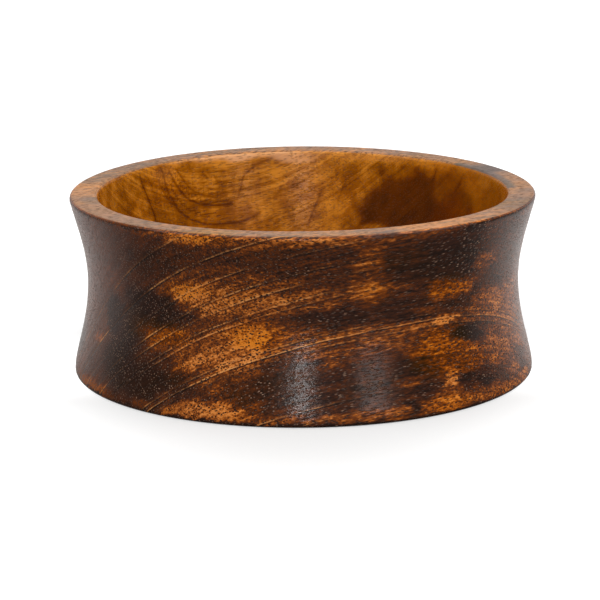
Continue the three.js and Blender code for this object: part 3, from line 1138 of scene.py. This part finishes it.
@dataclass(frozen=True)
class FinishedWood:
    """Open-pored hardwood, scorched, stained and oiled to a satin sheen. Sizes are in millimetres."""

    name: str = "finished_wood"
    pore_pitch: float = 1.08
    pore_radius: float = 0.39
    pore_length: float = 4.2  # times its width
    pore_depth: float = 0.15
    fibre_depth: float = 0.065
    dull: float = 0.32
    bright: float = 0.18
    line_width: float = 0.42
    mottle_depth: float = 0.1
    band_depth: float = 0.03
    line_depth: float = 0.05
    waviness: float = 0.8
    pore_dullness: float = 0.2
    outside_gloss: float = 0.06
    rim_dullness: float = 0.13
    # painted sheen: the light pink that the least scorched top of the inside is mixed towards, standing for the
    # backdrop's reflection on the inner edge
    painted_edge_sheen: Colour = (0.78, 0.43, 0.22)
    # the colour of the rings' light lines, partly a painted highlight on their ridges
    line_and_ridge_highlight_colour: Colour = (0.74, 0.37, 0.13)
    pore_colour: Colour = (0.02, 0.007, 0.003)
    core_colour: Colour = (0.33, 0.19, 0.12)
    golden: Colour = (1.04, 0.88, 0.22)  # what the colour is multiplied by
    ruddy: Colour = (1.0, 0.98, 1.0)

    def build(self, block: Block) -> bpy.types.Material:
        """Makes the material.

        Args:
            block: where the grain and the rings lie.

        Returns:
            The material.
        """
        material = bpy.data.materials.new(self.name)
        bench = bench_of(material)
        ground = Ground.of(bench, block, self.waviness)
        light_line_and_ridge_highlight, dark_line_and_ridge_shade = self._ring_lines(ground.place, block)
        pores, cores = self._pores(ground.place)
        depth = self._depth(ground, light_line_and_ridge_highlight, dark_line_and_ridge_shade)
        bare = 1.0 - bench.step(depth, 0.25, 0.8)
        # The light lines of the rings, partly their own colour and partly a painted highlight on their ridges.
        colour = bench.mixed(light_line_and_ridge_highlight * ground.outside * (0.05 + 0.6 * bare), self._stain(ground, depth),
                             self.line_and_ridge_highlight_colour)
        dark_ground = bench.step(depth, 0.5, 0.75)
        open_pores = 0.65 - 0.35 * ground.inside + ground.outside * (0.05 + 0.28 * ground.facing_ends)
        colour = bench.mixed(pores * (1.0 - dark_ground) * open_pores, colour, self.pore_colour)
        crowded = bench.step(bench.noise(ground.place.point, 0.045, 2.0), 0.36, 0.58, 0.65, 1.0)
        # light specks in the cores of some pores on dark wood, stronger where they crowd
        light_core_share = cores * dark_ground * ground.outside * crowded * (0.48 + 0.52 * ground.facing_ends)
        colour = bench.mixed(light_core_share, colour, self.core_colour)
        roughness = (self.bright + (self.dull - self.bright) * ground.gloss + pores * self.pore_dullness
                     - ground.outside * self.outside_gloss + ground.land * self.rim_dullness)
        height = (ground.fibre * self.fibre_depth + ground.mottle * self.mottle_depth - pores * self.pore_depth
                  + ground.bands * self.band_depth - dark_line_and_ridge_shade * self.line_depth)
        normal = bench.node("ShaderNodeBump", None, {"Strength": 1.0, "Distance": 1.0 / METRE, "Height": height})
        shader = bench.node("ShaderNodeBsdfPrincipled", None,
                            {"Base Color": colour, "Roughness": roughness, "Normal": normal, "IOR": 1.5,
                             "Specular IOR Level": 0.22})
        bench.add("ShaderNodeOutputMaterial", None, {"Surface": shader})
        return material

    def _depth(self, ground: Ground, light_line_and_ridge_highlight: Wire, dark_line_and_ridge_shade: Wire) -> Wire:
        """How dark the wood is, from bare at 0 to the darkest scorch at 1.

        Args:
            ground: the surface.
            light_line_and_ridge_highlight: the strength of the marked rings' light lines.
            dark_line_and_ridge_shade: that of their dark lines.

        Returns:
            The depth, with the figure, the wiped clouds and the veins in it.
        """
        bench, place, outside, inside = ground.bench, ground.place, ground.outside, ground.inside
        figure = bench.noise(place.layered(9.0, 4.0), 0.28, 4.0, 0.65) - 0.5
        wiping = bench.noise(bench.vector("MULTIPLY", place.point, (0.3, 0.3, 0.04)), 1.0, 2.0, 0.6) - 0.5
        end_grain = bench.step(bench.math("ABSOLUTE", place.along), 94.0, 112.0)
        lively = (bench.step(ground.scorch, 1.05, 0.55, 0.3, 1.0) * (0.85 + 0.15 * outside + 0.5 * ground.land)
                  * (1.0 - 0.65 * end_grain))
        clouds = (figure * (1.0 - 0.3 * inside) + ground.fibre * (0.6 - 0.3 * inside) + ground.bands * 0.5
                  + ground.mottle * (1.35 - 1.2 * inside) + (wiping * 0.35 + ground.gloss * 0.9 - 0.45) * inside)
        lines = dark_line_and_ridge_shade * (0.42 * outside + 0.1)
        depth = ground.scorch + lively * clouds - light_line_and_ridge_highlight * (0.18 * outside) + lines
        vein_show = bench.attribute("vein_show") * inside
        ragged = bench.math("ABSOLUTE", bench.attribute("vein") + ground.mottle * 1.2 + ground.fibre * 0.5)
        veins = bench.step(ragged, 1.0, 0.2) * vein_show * 0.42 + bench.step(ragged, 3.2, 0.3) * vein_show * 0.24
        return bench.math("ADD", depth, veins, clamp=True)

    def _stain(self, ground: Ground, depth: Wire) -> Wire:
        """The colour of the wood between its lines and pores.

        Args:
            ground: the surface.
            depth: how dark the wood is.

        Returns:
            The colour.
        """
        bench, inside = ground.bench, ground.inside
        colour = bench.mixed(ground.outside, bench.ramp(depth, SANDED_WITH_PAINTED_SHEEN.stops), bench.ramp(depth, STAINED.stops))
        colour = bench.mixed(inside, colour, bench.ramp(depth, HONEY.stops))
        # Painted sheen: where the inside is least scorched, along its top, it is mixed towards a light pink that
        # stands for the backdrop's reflection on the inner edge.
        colour = bench.mixed(bench.step(ground.scorch, 0.15, 0.0) * inside * 0.75, colour, self.painted_edge_sheen)
        tint = bench.attribute("gold") + (bench.noise(ground.place.stretched(2.5), 0.05, 2.0) - 0.5) * 1.1
        return bench.mixed(bench.step(tint, 0.1, 0.95), bench.vector("MULTIPLY", colour, self.ruddy),
                           bench.vector("MULTIPLY", colour, self.golden))

    def _ring_lines(self, place: Place, block: Block) -> tuple[Wire, Wire]:
        """The marked rings: a light line on each, with a dark one beside it, partly their own colour and partly a
        painted highlight on the ring's ridge and painted shade under it.

        Args:
            place: where the point lies in the block.
            block: where the rings lie.

        Returns:
            The strengths of the light and of the dark line.
        """
        bench = place.point.bench
        patchy = bench.step(bench.noise(place.layered(1.6, 1.6), 0.09, 2.0), 0.32, 0.66)
        frayed = bench.step(bench.noise(place.layered(3.0, 3.0), 0.8, 2.0), 0.3, 0.6)
        side_grain = bench.step(place.along, -50.0, 10.0)
        whole, broken = 0.6 + 0.4 * patchy, 0.25 + 0.8 * patchy
        lines = []
        for offset, width in ((0.0, self.line_width), (-self.line_width * 1.7, self.line_width * 1.1)):
            total: Wire | None = None
            for radius, left, right in block.marked_rings:
                gap = bench.math("ABSOLUTE", place.ring - (radius + offset)) * (1.0 / width)
                line = bench.step(gap, 1.2, 0.2) * (left + side_grain * (right - left))
                line = line * (whole if left + right > 1.3 else broken)
                total = line if total is None else bench.math("MAXIMUM", total, line)
            lines.append(total * (0.5 + 0.5 * frayed))
        return lines[0] * (1.0 - 0.45 * side_grain), lines[1]

    def _pores(self, place: Place) -> tuple[Wire, Wire]:
        """The open pores: fine tubes along the grain, seen as dots on end grain and as dashes on long grain.

        Args:
            place: where the point lies in the block.

        Returns:
            How much of a pore a point lies in, and how much of its core, which is stronger in some than in others.
        """
        bench = place.point.bench
        spot = bench.add("ShaderNodeTexVoronoi", {"feature": "F1"},
                         {"Vector": place.stretched(self.pore_length), "Scale": 1.0 / self.pore_pitch,
                          "Randomness": 1.0}).outputs
        size = self.pore_radius / self.pore_pitch
        away, chance = Wire(bench, spot["Distance"]), bench.parts(Wire(bench, spot["Color"]))[0]
        core = bench.step(away, size * 0.82, size * 0.4)
        return bench.step(away, size * 1.05, size * 0.8), core * bench.step(chance, 0.1, 0.9, 0.2, 1.0)


@dataclass(frozen=True)
class TurnedBowl:
    """The bowl itself: one block of wood, turned and finished. Lengths are in millimetres."""

    block: Block
    work: ScorchWork
    finish: FinishedWood
    facets: int = 600
    rim_sag: float = 1.3
    sag_bearing: float = 6.9  # degrees to the right of the front, where the rim hasn't dropped
    ring_relief: float = 0.12
    ring_seed: float = 4.0

    def build(self) -> bpy.types.Object:
        """Turns, scorches and finishes the bowl.

        Returns:
            The finished piece.
        """
        low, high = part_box(CAD_NODE)
        profile = BowlProfile(height=high.z * METRE, rim_radius=(high.x - low.x) / 2 * METRE)
        piece = Turning(self.block).apply(self._chain(profile.points()), "turned_bowl", {
            "Facets round": self.facets,
            "Height": profile.height / METRE,
            "Rim sag": self.rim_sag / METRE,
            "Sag bearing": math.radians(self.sag_bearing),
            "Ring relief": self.ring_relief / METRE,
            "Seed": self.ring_seed,
            "Wood": self.finish.build(self.block),
        })
        self.work.paint(piece.data, self.block)
        return piece

    @staticmethod
    def _chain(points: list[ProfilePoint]) -> bpy.types.Object:
        """A profile as a chain of vertices in the XZ plane, with the face of each as the attribute zone.

        Args:
            points: the profile.

        Returns:
            The mesh object.
        """
        mesh = bpy.data.meshes.new("profile")
        mesh.from_pydata([(p.radius / METRE, 0.0, p.height / METRE) for p in points],
                         [(i, i + 1) for i in range(len(points) - 1)], [])
        layer = mesh.attributes.new("zone", "FLOAT", "POINT")
        layer.data.foreach_set("value", [float(p.zone) for p in points])
        return linked("profile", mesh)


# The studio


@dataclass(frozen=True)
class Viewpoint:
    """The camera, in millimetres and degrees."""

    distance: float = 1450.0
    elevation: float = 13.68
    roll: float = -0.467
    aim: tuple[float, float, float] = (-1.79, 0.0, 36.68)
    lens: float = 157.67
    sensor: float = 36.0
    near: float = 50.0
    far: float = 60000.0

    def place(self) -> bpy.types.Object:
        """Makes the camera the scene's own.

        Returns:
            The camera.
        """
        data = bpy.data.cameras.new("camera")
        data.lens, data.sensor_width, data.sensor_fit = self.lens, self.sensor, "HORIZONTAL"
        data.clip_start, data.clip_end = self.near / METRE, self.far / METRE
        camera = linked("camera", data)
        tilt = math.radians(self.elevation)
        back = Vector((0.0, -math.cos(tilt), math.sin(tilt))) * self.distance
        where = Matrix.Translation((Vector(self.aim) + back) / METRE)
        turn = Matrix.Rotation(math.pi / 2 - tilt, 4, "X") @ Matrix.Rotation(math.radians(self.roll), 4, "Z")
        camera.matrix_world = where @ turn
        bpy.context.scene.camera = camera
        return camera


@dataclass(frozen=True)
class Softbox:
    """A rectangular lamp that faces the bowl. Lengths are in metres."""

    name: str
    bearing: float  # degrees to the right of the front
    elevation: float
    distance: float
    width: float
    rise: float
    watts: float
    aim_height: float = 0.05

    def place(self) -> bpy.types.Object:
        """Hangs the lamp.

        Returns:
            The lamp.
        """
        data = bpy.data.lights.new(self.name, "AREA")
        data.shape, data.size, data.size_y, data.energy = "RECTANGLE", self.width, self.rise, self.watts
        lamp = linked(self.name, data)
        turn, tilt = math.radians(self.bearing), math.radians(self.elevation)
        out = Vector((math.sin(turn) * math.cos(tilt), -math.cos(turn) * math.cos(tilt), math.sin(tilt)))
        lamp.location = Vector((0.0, 0.0, self.aim_height)) + out * self.distance
        lamp.rotation_euler = out.to_track_quat("Z", "Y").to_euler()
        return lamp


WHITE = (1.0, 1.0, 1.0)  # what the eye sees of the studio
WARM_SHEEN = (1.0, 0.91, 0.87)  # what shines on the bowl of it


@dataclass(frozen=True)
class Studio:
    """A white table and backdrop under soft light."""

    table_size: float = 12.0  # metres
    camera: Viewpoint = Viewpoint()
    lamps: tuple[Softbox, ...] = (
        Softbox("overhead", 10.0, 72.0, 1.6, 1.5, 1.2, 11.0),
        Softbox("left", -75.0, 48.0, 1.6, 0.8, 1.2, 9.0),
        Softbox("right", 75.0, 48.0, 1.6, 0.8, 1.2, 9.0),
        Softbox("front_strip", -1.0, 8.3, 2.2, 0.1, 0.52, 7.4),
        Softbox("side_strip", 34.0, 8.3, 2.2, 0.5, 0.5, 4.0),
    )

    def set_up(self) -> None:
        """Places the camera, the table, the surroundings and the lamps."""
        self.camera.place()
        self._table()
        self._surroundings()
        for lamp in self.lamps:
            lamp.place()
            log.info("lamp %s", lamp.name)
        bpy.context.scene.view_settings.view_transform = "Standard"

    @staticmethod
    def _rays(bench: Bench) -> tuple[Wire, Wire]:
        """Whether a ray is the camera's, and whether it is a sheen's."""
        kinds = bench.add("ShaderNodeLightPath").outputs
        return Wire(bench, kinds["Is Camera Ray"]), Wire(bench, kinds["Is Glossy Ray"])

    @staticmethod
    def _glow(kind: str, glossy: Wire, level: Wire) -> Wire:
        """A light that is white for the eye and warm in a sheen.

        Args:
            kind: the type of its node.
            glossy: whether a ray is a sheen's.
            level: how bright it is.

        Returns:
            The light.
        """
        bench = glossy.bench
        colour = bench.scaled(bench.mixed(glossy, WHITE, WARM_SHEEN), level)
        return bench.node(kind, None, {"Color": colour, "Strength": 1.0})

    def _table(self) -> None:
        """A white table top that keeps the bowl's shadow, and a painted soft shadow round its foot."""
        half = self.table_size / 2
        mesh = bpy.data.meshes.new("table")
        mesh.from_pydata([(-half, -half, 0), (half, -half, 0), (half, half, 0), (-half, half, 0)], [],
                         [(0, 1, 2, 3)])
        material = bpy.data.materials.new("white_table")
        bench = bench_of(material)
        seen, glossy = self._rays(bench)
        here = bench.node("ShaderNodeTexCoord", output="Object")
        x, y, _ = bench.parts(here)
        behind = bench.step(y, -0.1, 0.06)
        # The level seen by the camera falls near the bowl's foot, more in front and behind than at the sides: a
        # painted soft shadow beside the cast one.
        far = bench.vector("LENGTH", bench.vector("MULTIPLY", here, (1.7, 1.0, 1.0)), output="Value")
        aside = bench.step(bench.math("ABSOLUTE", y), 0.025, 0.075, 0.42, 0.0)
        white = bench.math("MINIMUM", bench.step(far, 0.12, 0.34, 0.46, 0.95) + aside, 1.0)
        shade = 0.36 - 0.27 * (glossy * (1.0 - behind))
        paint = bench.node("ShaderNodeBsdfDiffuse", None,
                           {"Color": bench.combined(shade, shade * 0.99, shade * 0.98)})
        sheen = glossy * behind * bench.step(x, -0.15, 0.15, 0.37, 0.53)
        glow_and_painted_shadow = self._glow("ShaderNodeEmission", glossy, bench.math("MAXIMUM", seen * white, sheen))
        both = bench.node("ShaderNodeAddShader", None, {0: paint, 1: glow_and_painted_shadow})
        bench.add("ShaderNodeOutputMaterial", None, {"Surface": both})
        mesh.materials.append(material)
        linked("table", mesh)

    def _surroundings(self) -> None:
        """White all round for the eye, dimmer in the sheen towards the front, and a soft fill light."""
        world = bpy.data.worlds.new("studio")
        bpy.context.scene.world = world
        bench = bench_of(world)
        seen, glossy = self._rays(bench)
        x, y, _ = bench.parts(bench.node("ShaderNodeTexCoord", output="Generated"))
        behind = bench.step(y - bench.math("ABSOLUTE", x) * 0.12, 0.1, 0.75, 0.04, 0.72)
        level = bench.math("MAXIMUM", seen, glossy * behind)
        level = bench.math("MAXIMUM", level, 0.38 * (1.0 - glossy))
        bench.add("ShaderNodeOutputWorld", None, {"Surface": self._glow("ShaderNodeBackground", glossy, level)})


def main() -> None:
    """Builds the bowl and the studio round it."""
    logging.basicConfig(level=logging.INFO, format="%(name)s: %(message)s")
    bowl = TurnedBowl(Block(), ScorchWork(), FinishedWood()).build()
    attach(bowl, BODY)
    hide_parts(CAD_NODE)
    log.info("piece %s: %d faces", bowl.name, len(bowl.data.polygons))
    Studio().set_up()


if __name__ == "__main__":
    main()
